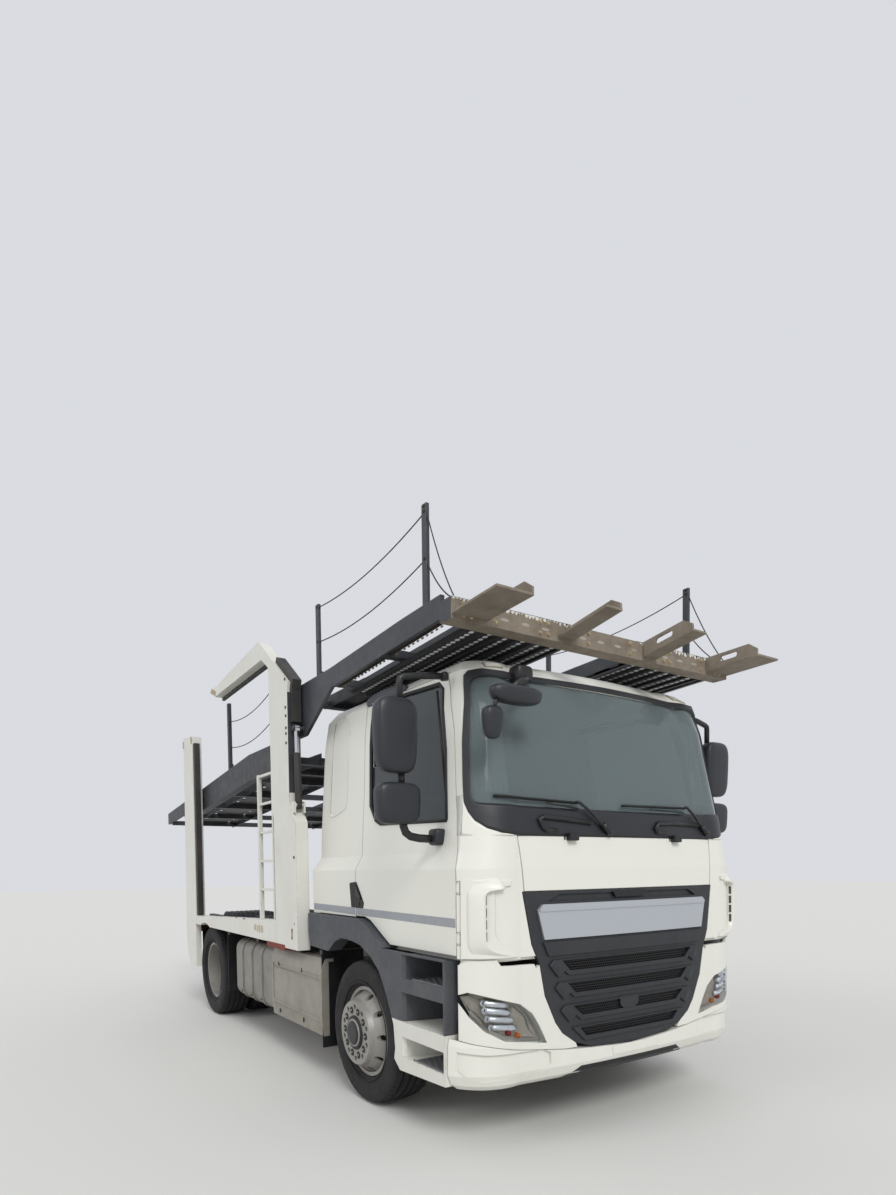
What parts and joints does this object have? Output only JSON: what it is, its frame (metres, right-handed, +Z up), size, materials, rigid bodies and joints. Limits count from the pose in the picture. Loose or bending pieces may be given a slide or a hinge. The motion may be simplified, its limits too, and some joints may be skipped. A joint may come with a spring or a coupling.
{
  "type": "car transporter truck",
  "caption": "Two-axle car transporter truck with sleeper cab, tilting upper decks, white side posts and a sloping rear ramp deck.",
  "frame": {"origin": "centre of the footprint at ground level", "axes": "+X to the truck's left, +Y to the truck's rear, +Z up"},
  "size_m": [3.02, 7.2638, 3.6],
  "materials": {
    "cab_paint": "gloss",
    "body_white": "satin",
    "deck_grey": "satin",
    "deck_beige": "matte",
    "chassis_black": "satin",
    "dark_plastic": "matte",
    "black_trim": "satin",
    "wheel_steel": "satin",
    "tyre_rubber": "matte",
    "tank_alloy": "brushed",
    "cover_silver": "satin",
    "bright_bar": "brushed",
    "clear_lens": "gloss",
    "cab_glass": "gloss",
    "seat_cloth": "matte",
    "axle_iron": "matte",
    "rod_chrome": "polished",
    "red_lens": "gloss"
  },
  "bodies": {
    "truck_body": {"chassis_frame": "chassis_black", "engine_block": "axle_iron", "front_axle": "axle_iron", "rear_axle": "axle_iron", "propshaft": "axle_iron", "cab_floor": "cab_paint", "cab_rear_wall": "cab_paint", "quarter_panels": "cab_paint", "cab_roof": "cab_paint", "cab_front": "cab_paint", "scuttle_panel": "black_trim", "windscreen": "cab_glass", "corner_panels": "cab_paint", "front_grille": "dark_plastic", "silver_bar": "bright_bar", "headlamp_surrounds": "cab_paint", "headlamps": "clear_lens", "front_bumper": "cab_paint", "entry_steps": "dark_plastic", "step_panels": "body_white", "wheel_arch_trims": "dark_plastic", "front_mirror": "black_trim", "cab_seats": "seat_cloth", "dashboard": "dark_plastic", "fuel_tanks": "tank_alloy", "side_boxes": "cover_silver", "mudguards": "black_trim", "front_posts": "body_white", "rear_posts": "body_white", "side_beams": "body_white", "lower_deck": "deck_grey", "post_channels": "chassis_black", "tow_coupling": "chassis_black", "tail_lamps": "red_lens"},
    "door_right": {"door_right": "cab_paint", "door_glass_right": "cab_glass", "mirrors_right": "black_trim"},
    "door_left": {"door_left": "cab_paint", "door_glass_left": "cab_glass", "mirrors_left": "black_trim"},
    "hood": {"hood_panel": "cab_paint"},
    "knuckle_left": {"knuckle_left": "axle_iron"},
    "knuckle_right": {"knuckle_right": "axle_iron"},
    "wheel_front_left": {"tyre_front_left": "tyre_rubber", "rim_front_left": "wheel_steel"},
    "wheel_front_right": {"tyre_front_right": "tyre_rubber", "rim_front_right": "wheel_steel"},
    "wheels_rear_left": {"tyres_rear_left": "tyre_rubber", "rims_rear_left": "wheel_steel"},
    "wheels_rear_right": {"tyres_rear_right": "tyre_rubber", "rims_rear_right": "wheel_steel"},
    "over_cab_deck": {"over_cab_deck": "deck_grey", "deck_forks": "deck_beige"},
    "rear_upper_deck": {"rear_upper_deck": "deck_grey"},
    "lift_barrels": {"lift_barrels": "chassis_black"},
    "lift_rods": {"lift_rods": "rod_chrome"}
  },
  "joints": [
    {"name": "steering_left", "type": "hinge", "parent": "truck_body", "child": "knuckle_left", "pos_m": [0.895, -2.132, 0.48], "axis": [0, 0, 1], "range_deg": [-38, 38]},
    {"name": "steering_right", "type": "hinge", "parent": "truck_body", "child": "knuckle_right", "pos_m": [-0.895, -2.132, 0.48], "axis": [0, 0, 1], "range_deg": [-38, 38]},
    {"name": "wheel_front_left_spin", "type": "hinge", "parent": "knuckle_left", "child": "wheel_front_left", "pos_m": [1.025, -2.132, 0.48], "axis": [1, 0, 0], "continuous": true},
    {"name": "wheel_front_right_spin", "type": "hinge", "parent": "knuckle_right", "child": "wheel_front_right", "pos_m": [-1.025, -2.132, 0.48], "axis": [1, 0, 0], "continuous": true},
    {"name": "wheels_rear_left_spin", "type": "hinge", "parent": "truck_body", "child": "wheels_rear_left", "pos_m": [0.88, 1.468, 0.48], "axis": [1, 0, 0], "continuous": true},
    {"name": "wheels_rear_right_spin", "type": "hinge", "parent": "truck_body", "child": "wheels_rear_right", "pos_m": [-0.88, 1.468, 0.48], "axis": [1, 0, 0], "continuous": true},
    {"name": "door_right_swing", "type": "hinge", "parent": "truck_body", "child": "door_right", "pos_m": [-1.139, -3.239, 1.3], "axis": [0, 0, 1], "range_deg": [0, 75]},
    {"name": "door_left_swing", "type": "hinge", "parent": "truck_body", "child": "door_left", "pos_m": [1.139, -3.239, 1.3], "axis": [0, 0, -1], "range_deg": [0, 75]},
    {"name": "hood_lift", "type": "hinge", "parent": "truck_body", "child": "hood", "pos_m": [0, -3.394, 1.74], "axis": [-1, 0, 0], "range_deg": [0, 70]},
    {"name": "over_cab_deck_tilt", "type": "hinge", "parent": "truck_body", "child": "over_cab_deck", "pos_m": [0, -1.047, 2.69], "axis": [-1, 0, 0], "range_deg": [0, 8]},
    {"name": "rear_deck_tilt", "type": "hinge", "parent": "truck_body", "child": "rear_upper_deck", "pos_m": [0, -0.802, 2.61], "axis": [-1, 0, 0], "range_deg": [-5, 10]},
    {"name": "lift_barrel_swing", "type": "hinge", "parent": "truck_body", "child": "lift_barrels", "pos_m": [0, -1.192, 2.062], "axis": [1, 0, 0], "range_deg": [-0.05, 0.483]},
    {"name": "lift_rod_slide", "type": "slide", "parent": "lift_barrels", "child": "lift_rods", "axis": [0, 0.0305, 0.9995], "range_m": [-0.0005, 0.01843]}
  ],
  "couplings": [
    {"joint": "steering_right", "follows": "steering_left", "ratio": 1},
    {"joint": "lift_barrel_swing", "follows": "over_cab_deck_tilt", "ratio": 0.05418},
    {"joint": "lift_rod_slide", "follows": "over_cab_deck_tilt", "m_per_rad": 0.12842}
  ]
}
